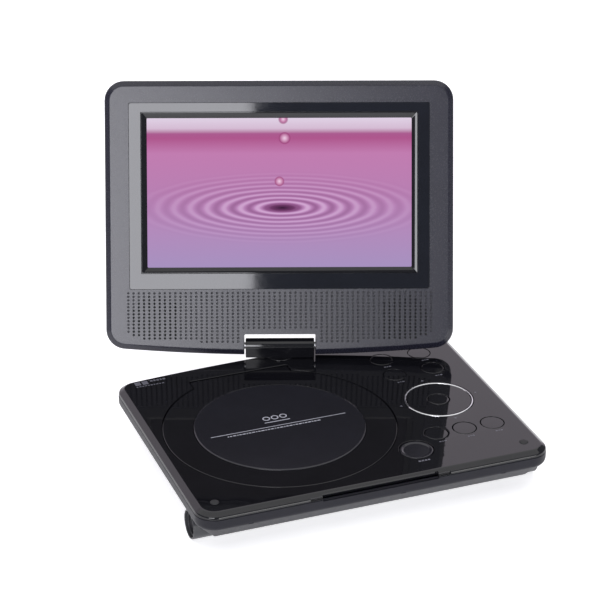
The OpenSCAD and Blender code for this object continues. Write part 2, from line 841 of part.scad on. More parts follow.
module speakers() color([0.15, 0.15, 0.15]) {
    lid_place() for (side = [-1, 1]) translate([side * speaker_x, speaker_y, 0]) {
        disc(speaker_r, [lid_face - lid_skin_front - 2.4, lid_face - lid_skin_front - 0.3]);
        disc(8, [lid_face - lid_skin_front - 5, lid_face - lid_skin_front - 2.4]);
    }
}

module speaker_cloths() color([0.05, 0.05, 0.05]) {
    lid_place() for (side = [-1, 1]) translate([side * speaker_x, speaker_y, 0])
        disc(speaker_r + 0.3, [lid_face - lid_skin_front - 0.25, lid_face - lid_skin_front - 0.05]);
}

base_bottom();
base_top();
base_feet();
base_screws();
lid_bumpers();
battery_tube();
battery_caps();
battery_cells();
battery_contacts();
main_board();
board_chips();
button_board();
tact_switches();
audio_jacks();
dc_jack();
disc_tray();
drive_chassis();
chassis_grommets();
spindle_motor();
guide_rods();
sled_motor();
spindle_hub();
laser_sled();
laser_lens();
lead_screw();
disc_door();
door_panel();
latch_slider();
open_button();
pad();
pad_ring();
ok_button();
round_button(0);  // button_1
round_button(1);  // button_2
round_button(2);  // button_3
round_button(3);  // button_4
round_button(4);  // button_5
round_button(5);  // button_6
round_button(6);  // button_7
volume_wheel();
power_slider();
swivel_post();
swivel_washer();
swivel_nut();
hinge_barrel();
tilt_brackets();
lid_front();
lid_back();
lid_screws();
screen_bezel();
screen_rim();
lcd_panel();
lcd_backlight();
lid_board();
speakers();
speaker_cloths();
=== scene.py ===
"""Looks of the portable DVD player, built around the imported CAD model.

Shapes are built in millimetres, most of them in the CAD's own frame. The barrel and the lid are built
in frames on the hinge line. The battery tube, its channel and the round holes for the sockets are
built about an upright line, which is then turned onto X.
"""

import json
import math

import bmesh
import bpy
from mathutils import Matrix, Vector


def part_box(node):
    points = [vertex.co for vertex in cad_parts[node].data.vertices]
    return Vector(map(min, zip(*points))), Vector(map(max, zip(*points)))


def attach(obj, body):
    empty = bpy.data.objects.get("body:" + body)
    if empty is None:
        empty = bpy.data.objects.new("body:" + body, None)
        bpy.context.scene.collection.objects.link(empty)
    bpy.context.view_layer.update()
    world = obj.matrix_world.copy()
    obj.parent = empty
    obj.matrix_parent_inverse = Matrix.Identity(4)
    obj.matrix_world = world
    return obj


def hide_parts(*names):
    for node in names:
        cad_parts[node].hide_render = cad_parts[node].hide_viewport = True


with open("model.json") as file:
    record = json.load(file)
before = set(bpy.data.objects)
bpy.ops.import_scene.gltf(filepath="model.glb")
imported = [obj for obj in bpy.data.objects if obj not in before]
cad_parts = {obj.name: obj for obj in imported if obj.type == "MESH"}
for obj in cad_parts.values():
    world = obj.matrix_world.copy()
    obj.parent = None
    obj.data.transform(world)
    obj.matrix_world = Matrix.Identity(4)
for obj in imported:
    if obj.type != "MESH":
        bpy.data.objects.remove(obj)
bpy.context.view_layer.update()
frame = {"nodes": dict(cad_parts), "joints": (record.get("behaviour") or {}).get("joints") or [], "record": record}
MM = 0.001

# ---- sizes in millimetres, measured from the CAD's nodes where they can be ----


def box_mm(node):
    low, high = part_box(node)
    return low / MM, high / MM


def centre_mm(node):
    low, high = box_mm(node)
    return (low + high) / 2


def joint(name):
    return next(j for j in frame["joints"] if j["name"] == name)


cover_low, cover_high = box_mm("base_top")
HALF_W = cover_high.x
HALF_D = -cover_low.y
CORNER = 11.5  # radius of the case's corners, seen from above
BOW = 4.7  # how far the rear edge bows out in its middle
TOP = cover_high.z
COVER_SKIN = 2.0
CEILING = TOP - COVER_SKIN
SEAM = box_mm("base_bottom")[1].z
FOOT_H = 5.3
BELLY = 16.6  # height where the housing's sides start to slope in
BELLY_RUN = 11.3  # how far they slope in
WALL = 1.8
PRINT = (0.004, 0.02)  # bottom and top of printed marks, above the surface they lie on
COVER_PRINT = tuple(TOP + z for z in PRINT)

DOOR = centre_mm("door_panel")
DOOR_R = 65.4
DOOR_LEFT = DOOR.x - 31  # sides and back of the door's hinge block
DOOR_RIGHT = DOOR.x + 28.8
DOOR_BACK = HALF_D - 18.5
DOOR_FACE = TOP - 0.2
PANEL_R = 48.0
PANEL_FACE = box_mm("door_panel")[1].z

KEYS = ["button_%d" % n for n in range(1, 8)]
KEY_R = 6.6
PAD = centre_mm("pad")
PAD_R = 19.8
OPEN = centre_mm("open_button")
OPEN_R = 9.3
OK_R = 6.1
UNDER = CEILING - 0.2  # top of the buttons' flanges, just under the cover
QUARTERS = [Vector((1, 0)), Vector((0, 1)), Vector((-1, 0)), Vector((0, -1))]

BUMPERS = [Vector((x, -67.5)) for x in (-90, 90)]
BUMPER_R = 2.45
BASE_SCREWS = [(x, y) for x in (-93, 93) for y in (-44.6, 50)]
SCREW_PIT_R = 2.4
FEET = [(x, 64) for x in (-80, 80)]
FOOT_R = 6.0
VENTS = [-74, 13, 72]  # middles of the small vents in the front of the housing
SLOT_HALF = 33.6  # half the width of the finger slot in the front edge
TUBE_R = 8.2
TUBE_Y = -57
TUBE_HALF = 101
AUDIO_Y = [-34, -22, -10]
DC_Y = 34
JACK_Z = 17.8

PIVOT = Vector(joint("screen_tilt")["pos_m"]) / MM
BOSS_R = 9.6  # the round bulge of the rear edge behind the swivel
POST_HOLE_R = 5.3
FLANGE_R = 8.2
BARREL_R = 4.4
BARREL_HALF = 20.2  # 0.7 more than the CAD's, to leave less of a gap in the lid's notch
FLANGE_TOP = box_mm("swivel_post")[1].z

LID_LOW = PIVOT.y - HALF_D
LID_HIGH = LID_LOW + 2 * HALF_D
LID_FACE = 5.7
FRONT_SKIN = 2.0
BACK_SKIN = 1.6
NOTCH_HALF = 20.9
NOTCH_TOP = 6.7  # 0.7 less than the CAD's, for the same reason
BEZEL_X = 87.85
BEZEL_Y = (33.55, 142.45)
BEZEL_SEAT = 4.8
PICTURE_HALF_W = 154.08 / 2
PICTURE_HALF_H = 86.58 / 2
PICTURE_Y = 89.9
GRILLE_COLUMNS = 59
GRILLE_TOP = 31.3
CELL_X = 3.06
CELL_Y = 2.04
DIMPLE_R = 0.72


def hinge_frame(lean):
    """A frame on the lid's hinge line: X along it, Y turned up by lean degrees from the back."""
    hinge = joint("screen_tilt")
    x = -Vector(hinge["axis"]).normalized()
    up = Vector((0, 0, 1))
    angle = math.radians(lean)
    y = math.cos(angle) * up.cross(x) + math.sin(angle) * up
    turn = Matrix((x, y, x.cross(y))).transposed().to_4x4()
    return Matrix.Translation(Vector(hinge["pos_m"])) @ turn


HEAD = hinge_frame(0)
# shut, the lid's Y points forward, at 180 degrees, and at rest it has turned back from there
LID = hinge_frame(180 + joint("screen_tilt")["range_deg"][0])
ALONG_X = Matrix.Rotation(math.radians(90), 4, "Y")

# ---- outlines: lists of 2D points, anticlockwise ----


def arc(centre, radius, start, end, steps):
    """Points on an arc, with angles in degrees."""
    points = []
    for n in range(steps + 1):
        a = math.radians(start + (end - start) * n / steps)
        points.append((centre[0] + radius * math.cos(a), centre[1] + radius * math.sin(a)))
    return points


def circle(centre, radius, steps=64):
    return arc(centre, radius, 0, 360, steps)[:-1]


def rectangle(x, y, corner=0.0):
    corners = [(x[0], y[0]), (x[1], y[0]), (x[1], y[1]), (x[0], y[1])]
    if corner == 0:
        return corners
    points = []
    for n in range(4):
        points += corner_arc(corners[n - 1], corners[n], corners[(n + 1) % 4], corner, 4)
    return points


def corner_arc(before, here, after, radius, steps):
    """The arc that rounds the corner at here."""
    here = Vector(here)
    back = (Vector(before) - here).normalized()
    ahead = (Vector(after) - here).normalized()
    half = back.angle(ahead) / 2
    reach = radius / math.tan(half)
    middle = here + (back + ahead).normalized() * radius / math.sin(half)
    start = (here + back * reach - middle).normalized()
    end = (here + ahead * reach - middle).normalized()
    return [tuple(middle + radius * start.slerp(end, n / steps)) for n in range(steps + 1)]


def soften(profile, radii, steps=4):
    """An open line of points with its inner corners rounded, where the radius isn't 0."""
    points = [profile[0]]
    for n in range(1, len(profile) - 1):
        if radii[n - 1] > 0:
            points += corner_arc(profile[n - 1], profile[n], profile[n + 1], radii[n - 1], steps)
        else:
            points.append(profile[n])
    points.append(profile[-1])
    return points


def bowed_edge(inset):
    """Bow centre, bow radius, corner radius, corner centre and tangent angle of the case outline."""
    bow_r = HALF_W**2 / (2 * BOW)
    corner = max(CORNER - inset, 0.6)
    bow_y = HALF_D - inset - bow_r
    corner_x = HALF_W - inset - corner
    corner_y = bow_y + math.sqrt((bow_r - corner) ** 2 - corner_x**2)
    tangent = math.degrees(math.atan2(corner_y - bow_y, corner_x))
    return bow_y, bow_r, corner, corner_x, corner_y, tangent


def base_outline(inset, boss_inset=None):
    """The base seen from above, set in by inset.

    Its round bulge behind the swivel is set in by boss_inset, or by 0.5 at most if that isn't given.
    """
    bow_y, bow_r, corner, corner_x, corner_y, tangent = bowed_edge(inset)
    boss_r = BOSS_R - (min(inset, 0.5) if boss_inset is None else boss_inset)
    cross_y = (bow_r**2 - boss_r**2) / (2 * (PIVOT.y - bow_y)) + (PIVOT.y + bow_y) / 2
    boss_angle = math.degrees(math.asin((cross_y - PIVOT.y) / boss_r))
    bow_angle = math.degrees(math.asin((cross_y - bow_y) / bow_r))
    front = inset - HALF_D
    points = arc((-corner_x, front + corner), corner, 180, 270, 10)
    points += arc((corner_x, front + corner), corner, 270, 360, 10)
    points += arc((corner_x, corner_y), corner, 0, tangent, 10)
    points += arc((0, bow_y), bow_r, tangent, bow_angle, 10)[1:-1]
    points += arc((0, PIVOT.y), boss_r, boss_angle, 180 - boss_angle, 20)
    points += arc((0, bow_y), bow_r, 180 - bow_angle, 180 - tangent, 10)[1:-1]
    points += arc((-corner_x, corner_y), corner, 180 - tangent, 180, 10)
    return points


def lid_outline(inset):
    """The lid in its own frame: its bowed edge is at the hinge and has a notch for the barrel."""
    bow_y, bow_r, corner, corner_x, corner_y, tangent = bowed_edge(inset)
    side = NOTCH_HALF + min(inset, 0.35)
    roof = NOTCH_TOP + min(inset, 0.35)
    notch_angle = math.degrees(math.acos(side / bow_r))
    flip = LID_LOW + HALF_D
    rising = arc((0, bow_y), bow_r, notch_angle, tangent, 12)[:-1]
    rising += arc((corner_x, corner_y), corner, tangent, 0, 10)
    right = [(x, flip - y) for x, y in rising]
    right += arc((corner_x, LID_HIGH - inset - corner), corner, 0, 90, 10)
    left = [(-x, y) for x, y in reversed(right)]
    roof_line = soften([left[-1], (-side, roof), (side, roof), right[0]], [0.6, 0.6], 3)
    return right + left + roof_line[1:-1]


def door_outline(grow):
    """The disc door, grown outward: a circle with a block at the back for its hinge."""
    radius = DOOR_R + grow
    left = DOOR_LEFT - grow
    right = DOOR_RIGHT + grow
    back = DOOR_BACK + (2.4 if grow > 0 else 1) * grow
    start = math.degrees(math.acos((left - DOOR.x) / radius))
    end = math.degrees(math.acos((right - DOOR.x) / radius))
    points = arc((DOOR.x, DOOR.y), radius, start, 360 + end, 150)
    corner = 1.2 + grow
    points += corner_arc((right, DOOR.y), (right, back), (left, back), corner, 5)
    points += corner_arc((right, back), (left, back), (left, DOOR.y), corner, 5)
    return points


# ---- mesh building ----


def add_ring(bm, points, z):
    return [bm.verts.new((x, y, z)) for x, y in points]


def bridge(bm, low, high, material=0):
    for n in range(len(low)):
        m = (n + 1) % len(low)
        bm.faces.new((low[n], low[m], high[m], high[n])).material_index = material


def stack(bm, outline, profile, material=0):
    """Rings of outline(inset) at each (inset, height), joined up. Returns the rings."""
    rings = [add_ring(bm, outline(inset), z) for inset, z in profile]
    for low, high in zip(rings, rings[1:]):
        bridge(bm, low, high, material)
    return rings


def cap(bm, rings, extra_edges=()):
    """Fills the flat space inside the outer ring, round any inner rings and further edges."""
    edges = list(extra_edges)
    for ring in rings:
        for n in range(len(ring)):
            pair = (ring[n], ring[(n + 1) % len(ring)])
            edges.append(bm.edges.get(pair) or bm.edges.new(pair))
    bmesh.ops.triangle_fill(bm, use_beauty=True, use_dissolve=False, edges=edges)


def lathe(bm, profile, centre=(0, 0), steps=64, material=0):
    """Turns (radius, height) points about a vertical line. Radius 0 closes an end."""
    rings = []
    for radius, z in profile:
        points = circle(centre, radius, steps) if radius > 0 else [tuple(centre)]
        rings.append(add_ring(bm, points, z))
    for low, high in zip(rings, rings[1:]):
        if len(low) == len(high):
            bridge(bm, low, high, material)
            continue
        tip, ring = (low[0], high) if len(low) == 1 else (high[0], low)
        for n in range(len(ring)):
            face = bm.faces.new((tip, ring[n], ring[(n + 1) % len(ring)]))
            face.material_index = material
    return rings


def closed_lathe(bm, profile, centre=(0, 0), steps=64):
    """Turns a closed loop of (radius, height) points."""
    rings = lathe(bm, profile, centre, steps)
    bridge(bm, rings[-1], rings[0])


def block(bm, x, y, z, bevel=0.25, material=0):
    """A box with bevelled edges."""
    corners = [bm.verts.new((a, b, c)) for c in z for b in y for a in x]
    sides = ((0, 2, 3, 1), (4, 5, 7, 6), (0, 1, 5, 4), (2, 6, 7, 3), (0, 4, 6, 2), (1, 3, 7, 5))
    faces = [bm.faces.new([corners[n] for n in side]) for side in sides]
    if bevel > 0:
        edges = list({e for f in faces for e in f.edges})
        made = bmesh.ops.bevel(
            bm, geom=edges, offset=bevel, segments=2, profile=0.5, affect="EDGES"
        )
        faces = [f for f in faces if f.is_valid] + made["faces"]
    for face in faces:
        face.material_index = material


def add_object(name, build, materials=(), place=Matrix.Identity(4), keep_frame=False):
    """A new object from build(bm), which works in millimetres in the frame given by place.

    With keep_frame that frame is the object's own, so a material's Generated coordinates follow it.
    """
    bm = bmesh.new()
    build(bm)
    bmesh.ops.recalc_face_normals(bm, faces=bm.faces)
    bmesh.ops.scale(bm, vec=(MM, MM, MM), verts=bm.verts)
    mesh = bpy.data.meshes.new(name)
    bm.to_mesh(mesh)
    bm.free()
    obj = bpy.data.objects.new(name, mesh)
    if keep_frame:
        obj.matrix_world = place
    else:
        mesh.transform(place)
    bpy.context.scene.collection.objects.link(obj)
    for material in materials:
        mesh.materials.append(material)
    return obj


def subtract(obj, cutter):
    """Cuts the closed cutter object out of obj and removes the cutter."""
    boolean = obj.modifiers.new("carve", "BOOLEAN")
    boolean.object = cutter
    boolean.operation = "DIFFERENCE"
    boolean.solver = "EXACT"
    graph = bpy.context.evaluated_depsgraph_get()
    mesh = bpy.data.meshes.new_from_object(obj.evaluated_get(graph))
    obj.modifiers.clear()
    obj.data = mesh
    bpy.data.objects.remove(cutter)


def carve(obj, build, place=Matrix.Identity(4)):
    """Cuts the closed shape made by build(bm) out of the object."""
    subtract(obj, add_object("cutter", build, place=place))


def finish_piece(obj, body, slot, *nodes):
    """Shades the piece, hangs it on its body and hides the CAD nodes it replaces. The slot argument is not used.
    """
    obj.data.shade_smooth()
    obj.data.set_sharp_from_angle(angle=math.radians(33))
    weighted = obj.modifiers.new("weighted", "WEIGHTED_NORMAL")
    weighted.weight = 100
    weighted.keep_sharp = True
    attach(obj, body)
    if nodes:
        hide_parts(*nodes)


# ---- materials ----


def shader(name):
    material = bpy.data.materials.new(name)
    material.use_nodes = True
    nodes = material.node_tree.nodes
    principled = nodes["Principled BSDF"]
    return material, nodes, material.node_tree.links, principled


def noise(nodes, links, scale, detail=4.0):
    where = nodes.new("ShaderNodeTexCoord")
    texture = nodes.new("ShaderNodeTexNoise")
    texture.inputs["Scale"].default_value = scale
    texture.inputs["Detail"].default_value = detail
    links.new(where.outputs["Object"], texture.inputs["Vector"])
    return texture


def ramp(nodes, links, source, stops):
    """A colour ramp over the source, through (position, colour) stops."""
    blend = nodes.new("ShaderNodeValToRGB")
    links.new(source, blend.inputs["Fac"])
    elements = blend.color_ramp.elements
    for n, (position, colour) in enumerate(stops):
        element = elements[n] if n < 2 else elements.new(position)
        element.position = position
        element.color = (*colour, 1)
    return blend.outputs["Color"]


def spread(nodes, links, source, low, high):
    """Maps a noise of about 0.3 to 0.7 onto low to high."""
    remap = nodes.new("ShaderNodeMapRange")
    remap.inputs["From Min"].default_value = 0.3
    remap.inputs["From Max"].default_value = 0.7
    remap.inputs["To Min"].default_value = low
    remap.inputs["To Max"].default_value = high
    links.new(source, remap.inputs["Value"])
    return remap.outputs["Result"]


def finish(
    name, colour, rough, grain=1500, bump=0.0, metallic=0.0, vary=0.12, glow=0.0, specular=0.5
):
    """A surface with uneven colour and gloss, and a fine grain when bump isn't 0."""
    material, nodes, links, principled = shader(name)
    broad = noise(nodes, links, 60)
    fine = noise(nodes, links, grain)
    dark = tuple(c * (1 - vary) for c in colour)
    light = tuple(min(c * (1 + vary), 1) for c in colour)
    tint = ramp(nodes, links, broad.outputs["Fac"], [(0.3, dark), (0.7, light)])
    links.new(tint, principled.inputs["Base Color"])
    links.new(spread(nodes, links, fine.outputs["Fac"], *rough), principled.inputs["Roughness"])
    principled.inputs["Metallic"].default_value = metallic
    principled.inputs["Specular IOR Level"].default_value = specular
    if glow > 0:
        links.new(tint, principled.inputs["Emission Color"])
        principled.inputs["Emission Strength"].default_value = glow
    if bump > 0:
        relief = nodes.new("ShaderNodeBump")
        relief.inputs["Strength"].default_value = bump
        relief.inputs["Distance"].default_value = 0.00005
        links.new(fine.outputs["Fac"], relief.inputs["Height"])
        links.new(relief.outputs["Normal"], principled.inputs["Normal"])
    return material


def over(nodes, links, under, top, amount):
    """Lays the top colour over the under colour, by amount."""
    mix = nodes.new("ShaderNodeMix")
    mix.data_type = "RGBA"
    links.new(amount, mix.inputs["Factor"])
    links.new(under, mix.inputs["A"])
    links.new(top, mix.inputs["B"])
    return mix.outputs["Result"]


def distance_from(nodes, links, where, centre, flatten=1.0):
    """Offset and distance from a point of the picture, in picture widths.

    The distance is the same all round an ellipse that is flattened by a factor.
    """
    tall = PICTURE_HALF_H / PICTURE_HALF_W * flatten
    place = nodes.new("ShaderNodeMapping")
    place.inputs["Location"].default_value = (-centre[0], -centre[1] * tall, 0)
    place.inputs["Scale"].default_value = (1.0, tall, 0)
    links.new(where, place.inputs["Vector"])
    span = nodes.new("ShaderNodeVectorMath")
    span.operation = "LENGTH"
    links.new(place.outputs["Vector"], span.inputs[0])
    return place.outputs["Vector"], span.outputs["Value"]


def picture_finish():
    """A bright picture: drops falling into a pink lake, with rings of ripples."""
    material, nodes, links, principled = shader("picture")
    where = nodes.new("ShaderNodeTexCoord").outputs["Generated"]
    split = nodes.new("ShaderNodeSeparateXYZ")
    links.new(where, split.inputs["Vector"])
    scenery = [
        (0.0, (0.38, 0.28, 0.52)),
        (0.28, (0.45, 0.25, 0.49)),
        (0.52, (0.48, 0.21, 0.44)),
        (0.76, (0.53, 0.20, 0.43)),
        (0.86, (0.42, 0.09, 0.26)),
        (0.89, (0.40, 0.10, 0.27)),
        (0.925, (0.66, 0.50, 0.65)),
        (1.0, (0.75, 0.65, 0.79)),
    ]
    colour = ramp(nodes, links, split.outputs["Y"], scenery)

    centre = (0.511, 0.40)
    spread_out, reach = distance_from(nodes, links, where, centre, 4.2)
    rings = nodes.new("ShaderNodeTexWave")
    rings.wave_type = "RINGS"
    rings.rings_direction = "Z"
    rings.inputs["Scale"].default_value = 5.0
    rings.inputs["Distortion"].default_value = 0.8
    rings.inputs["Detail"].default_value = 2.0
    links.new(spread_out, rings.inputs["Vector"])
    bands = [(0.0, (0.25, 0.07, 0.22)), (0.6, (0.50, 0.23, 0.48)), (1.0, (0.72, 0.46, 0.72))]
    ripple = ramp(nodes, links, rings.outputs["Fac"], bands)
    strength = [(0.0, (0.8, 0.8, 0.8)), (0.22, (0.5, 0.5, 0.5)), (0.58, (0.0, 0.0, 0.0))]
    colour = over(nodes, links, colour, ripple, ramp(nodes, links, reach, strength))

    dark = ramp(nodes, links, reach, [(0.0, (0.03, 0.005, 0.03)), (0.06, (0.20, 0.05, 0.17))])
    fade = ramp(nodes, links, reach, [(0.045, (1, 1, 1)), (0.075, (0, 0, 0))])
    colour = over(nodes, links, colour, dark, fade)
    for drop, radius in (((0.515, 0.985), 0.016), ((0.520, 0.86), 0.021), ((0.50, 0.575), 0.018)):
        away = distance_from(nodes, links, where, drop)[1]
        body = [
            (0.0, (0.85, 0.62, 0.78)),
            (0.5 * radius, (0.62, 0.28, 0.48)),
            (radius, (0.30, 0.03, 0.16)),
        ]
        edge = [(0.93 * radius, (1, 1, 1)), (1.07 * radius, (0, 0, 0))]
        drop_colour = ramp(nodes, links, away, body)
        colour = over(nodes, links, colour, drop_colour, ramp(nodes, links, away, edge))

    links.new(colour, principled.inputs["Emission Color"])
    principled.inputs["Emission Strength"].default_value = 1.0
    principled.inputs["Base Color"].default_value = (0.004, 0.004, 0.005, 1)
    principled.inputs["Specular IOR Level"].default_value = 0.0
    grain = noise(nodes, links, 900)
    links.new(spread(nodes, links, grain.outputs["Fac"], 0.3, 0.5), principled.inputs["Roughness"])
    return material


GLOSS = finish("gloss_black", (0.006, 0.006, 0.008), (0.025, 0.045), grain=300)
BEZEL_GLOSS = finish("bezel_gloss", (0.007, 0.008, 0.013), (0.03, 0.05), grain=300)
HOUSING = finish("housing_black", (0.008, 0.008, 0.013), (0.38, 0.5), bump=0.2, specular=0.25)
LID_MATT = finish("lid_grey", (0.013, 0.013, 0.023), (0.24, 0.29), bump=0.08, vary=0.06)
DIMPLE = finish("dimple_shade", (0.012, 0.012, 0.018), (0.45, 0.6))
# painted shade: a near-black matte material for the walls and bottoms of holes, grille pits and the finger slot,
# where shade falls
PAINTED_HOLE_SHADE = finish("painted_hole_shade", (0.004, 0.004, 0.005), (0.7, 0.9))
SATIN = finish("satin_black", (0.010, 0.010, 0.015), (0.20, 0.26), bump=0.03)
BRIGHT = finish("bright_trim", (0.80, 0.80, 0.82), (0.08, 0.16), metallic=1.0, vary=0.05)
RUBBER = finish("rubber", (0.02, 0.02, 0.022), (0.6, 0.8), bump=0.4)
COVER_INK = finish("label_grey", (0.13, 0.13, 0.16), (0.4, 0.6), vary=0.1)
PANEL_INK = finish("print_grey", (0.45, 0.46, 0.52), (0.4, 0.6), vary=0.1)
SLEEVE = finish("sleeve_black", (0.035, 0.036, 0.04), (0.3, 0.42), bump=0.2)
SIDE_BLACK = finish("side_black", (0.015, 0.015, 0.018), (0.35, 0.5), bump=0.3)
STEEL = finish("steel", (0.55, 0.55, 0.57), (0.22, 0.38), metallic=1.0)
BOARD = finish("board_green", (0.02, 0.13, 0.06), (0.35, 0.5), bump=0.3)
COPPER = finish("motor_metal", (0.36, 0.35, 0.34), (0.3, 0.45), metallic=1.0)
PALE = finish("pale_plastic", (0.42, 0.42, 0.40), (0.45, 0.6), bump=0.2)
GREEN = finish("cell_wrap", (0.05, 0.16, 0.10), (0.25, 0.35))
LENS = finish("lens_glass", (0.05, 0.08, 0.16), (0.02, 0.05))
CLOTH = finish("speaker_cloth", (0.015, 0.015, 0.017), (0.85, 0.95), grain=4000, bump=0.8)
PICTURE = picture_finish()

# the CAD's own nodes that stay in view, or come into view when something opens
NODE_LOOKS = {
    SIDE_BLACK: [
        "disc_tray", "audio_jacks", "dc_jack", "volume_wheel", "power_slider", "spindle_hub",
        "laser_sled", "tact_switches", "speakers", "lcd_panel", "board_chips",
    ],
    STEEL: [
        "base_screws", "lid_screws", "drive_chassis", "guide_rods", "lead_screw", "swivel_nut",
        "swivel_washer", "tilt_brackets", "battery_contacts",
    ],
    COPPER: ["spindle_motor", "sled_motor"],
    BOARD: ["main_board", "button_board", "lid_board"],
    RUBBER: ["chassis_grommets"],
    GREEN: ["battery_cells"],
    PALE: ["latch_slider", "lcd_backlight"],
    LENS: ["laser_lens"],
    CLOTH: ["speaker_cloths"],
}


def paint_nodes():
    """Gives those nodes their materials. Their shapes stay the CAD's."""
    for material, names in NODE_LOOKS.items():
        for name in names:
            mesh = frame["nodes"][name].data
            mesh.materials.clear()
            mesh.materials.append(material)


# ---- base ----


def cover_holes():
    """Every opening in the gloss cover, as outline(grow) functions."""
    holes = [door_outline_open]
    for node in KEYS:
        holes.append(round_hole(centre_mm(node), KEY_R + 0.3))
    holes.append(round_hole(PAD, PAD_R + 0.3))
    holes.append(round_hole(OPEN, OPEN_R + 0.5))
    holes.append(round_hole(PIVOT, POST_HOLE_R))
    return holes


def door_outline_open(grow):
    return door_outline(0.5 + grow)


def round_hole(centre, radius):
    return lambda grow: circle(centre.xy, radius + grow, 72)


def build_cover(bm):
    edge = soften(
        [(0.45, SEAM + 0.04), (0, SEAM + 0.4), (0.4, TOP - 1.8), (3.3, TOP), (9, TOP)],
        [0.2, 1.2, 2.6],
    )[:-1]
    outer = stack(bm, base_outline, edge)
    top_rings = [outer[-1]]
    low_rings = []
    lip = [(0.22, TOP), (0.06, TOP - 0.07), (0, TOP - 0.22), (0, CEILING)]
    for hole in cover_holes():
        rings = stack(bm, hole, lip)
        top_rings.append(rings[0])
        low_rings.append(rings[-1])
    for centre in BUMPERS:
        seat = [(BUMPER_R + 0.05, TOP), (BUMPER_R + 0.05, TOP - 1.2), (0, TOP - 1.2)]
        top_rings.append(lathe(bm, seat, centre, 48)[0])
    cap(bm, top_rings)
    inside = base_outline(4.6, 2.0)
    inner_low = add_ring(bm, inside, SEAM + 0.04)
    inner_high = add_ring(bm, inside, CEILING)
    bridge(bm, inner_low, inner_high)
    cap(bm, [inner_high] + low_rings)
    cap(bm, [outer[0], inner_low])


def finger_slot(half, depth, z, material=0):
    """A cutter for a slot in the middle of the front edge, for a fingertip."""
    return lambda bm: block(bm, (-half, half), (-HALF_D - 5, depth - HALF_D), z, 0.2, material)


def build_housing(bm):
    sides = soften(
        [(20, FOOT_H), (BELLY_RUN, FOOT_H), (0, BELLY), (0, SEAM - 0.02), (0.35, SEAM - 0.02)],
        [2.5, 3.5, 0.3],
    )[1:]
    rings = stack(bm, base_outline, sides)
    cap(bm, [rings[0]])
    cap(bm, [rings[-1]])


def build_cavity(bm):
    sides = [(BELLY_RUN + 1.2, FOOT_H + WALL), (WALL, BELLY + 0.4), (WALL, SEAM + 3)]
    rings = stack(bm, lambda inset: base_outline(inset, 1.4), sides)
    cap(bm, [rings[0]])
    cap(bm, [rings[-1]])


def tube_cutter(radius):
    def build(bm):
        lathe(bm, [(0, -130), (radius, -130), (radius, 130), (0, 130)], steps=96)

    return build


def side_cutter(radius, start=96.0):
    def build(bm):
        lathe(bm, [(0, start), (radius, start), (radius, 110), (0, 110)], steps=40)

    return build


def across_x(y, z):
    """Turns upright shapes onto the X direction, through the given Y and Z."""
    return Matrix.Translation(Vector((0, y, z)) * MM) @ ALONG_X


def cut_side_slots(bm):
    """The slots of the volume wheel and the power slider, and the vents in the front."""
    block(bm, (88.8, 110), (-0.4, 16.4), (16.1, 19.3), 0.2)
    block(bm, (99.2, 110), (50.2, 57.8), (17, 19.4), 0.2)
    for x in VENTS:
        block(bm, (x - 1.5, x + 1.5), (-HALF_D - 4, -HALF_D + 0.9), (BELLY - 1.4, BELLY + 0.4), 0.15)


def cut_housing_pits(bm):
    """The pits of the screws and the seats of the feet, from below."""
    for centre in BASE_SCREWS:
        lathe(bm, [(0, 0), (SCREW_PIT_R, 0), (SCREW_PIT_R, 12.6), (0, 12.6)], centre, 32)
    seat_r = FOOT_R + 0.15
    for centre in FEET:
        lathe(bm, [(0, 0), (seat_r, 0), (seat_r, FOOT_H + 0.5), (0, FOOT_H + 0.5)], centre)


def make_base_shells():
    # material 1 of the cover is the painted shade, which the finger slot's walls take from the cutter
    cover = add_object("cover", build_cover, [GLOSS, PAINTED_HOLE_SHADE])
    carve(cover, finger_slot(SLOT_HALF, 3, (SEAM - 0.8, TOP - 0.8), 1))
    carve(cover, finger_slot(SLOT_HALF + 7.1, 1.1, (SEAM + 0.6, TOP - 1.3)))
    finish_piece(cover, "base", "gloss_cover", "base_top")

    channel = across_x(TUBE_Y, TUBE_R)
    housing = add_object("housing", build_housing, [HOUSING, PAINTED_HOLE_SHADE])
    cavity = add_object("cavity", build_cavity)
    carve(cavity, tube_cutter(TUBE_R + 1.5), channel)
    carve(housing, tube_cutter(TUBE_R + 0.05), channel)
    subtract(housing, cavity)
    # the finger slot's walls take material 1, the painted shade
    carve(housing, finger_slot(SLOT_HALF, 1.3, (SEAM - 0.8, TOP), 1))
    carve(housing, cut_side_slots)
    carve(housing, cut_housing_pits)
    for y in AUDIO_Y:
        carve(housing, side_cutter(3.1), across_x(y, JACK_Z))
    carve(housing, side_cutter(3.7), across_x(DC_Y, JACK_Z))
    finish_piece(housing, "base", "housing", "base_bottom")


def build_feet(bm):
    top = FOOT_H + 0.45
    profile = soften([(0, 0), (FOOT_R, 0), (FOOT_R, top), (0, top)], [0.8, 0.2])
    for centre in FEET:
        lathe(bm, profile, centre)


def build_bumpers(bm):
    low = TOP - 1.15
    high = TOP + 0.5
    profile = soften([(0, low), (BUMPER_R, low), (BUMPER_R, high), (0, high)], [0.1, 0.7])
    for centre in BUMPERS:
        lathe(bm, profile, centre, 48)


def build_tube(bm):
    """A thin-walled sleeve whose ends are rounded over."""
    rounding = [(0.9, 0.2), (0.6, 0), (0.25, 0), (0, 0.3)]
    low = [(TUBE_R - inset, back - TUBE_HALF) for inset, back in rounding]
    high = [(radius, -z) for radius, z in reversed(low)]
    closed_lathe(bm, low + high, steps=96)


def build_tube_caps(bm):
    """A recessed end cap for each end of the tube."""
    outline = [(0, 93), (7.2, 93), (7.2, 99.5), (6, 99.5), (6, 98), (0, 98)]
    for side in (-1, 1):
        lathe(bm, soften([(radius, z * side) for radius, z in outline], [0.3, 0.3, 0.3, 0.3]))


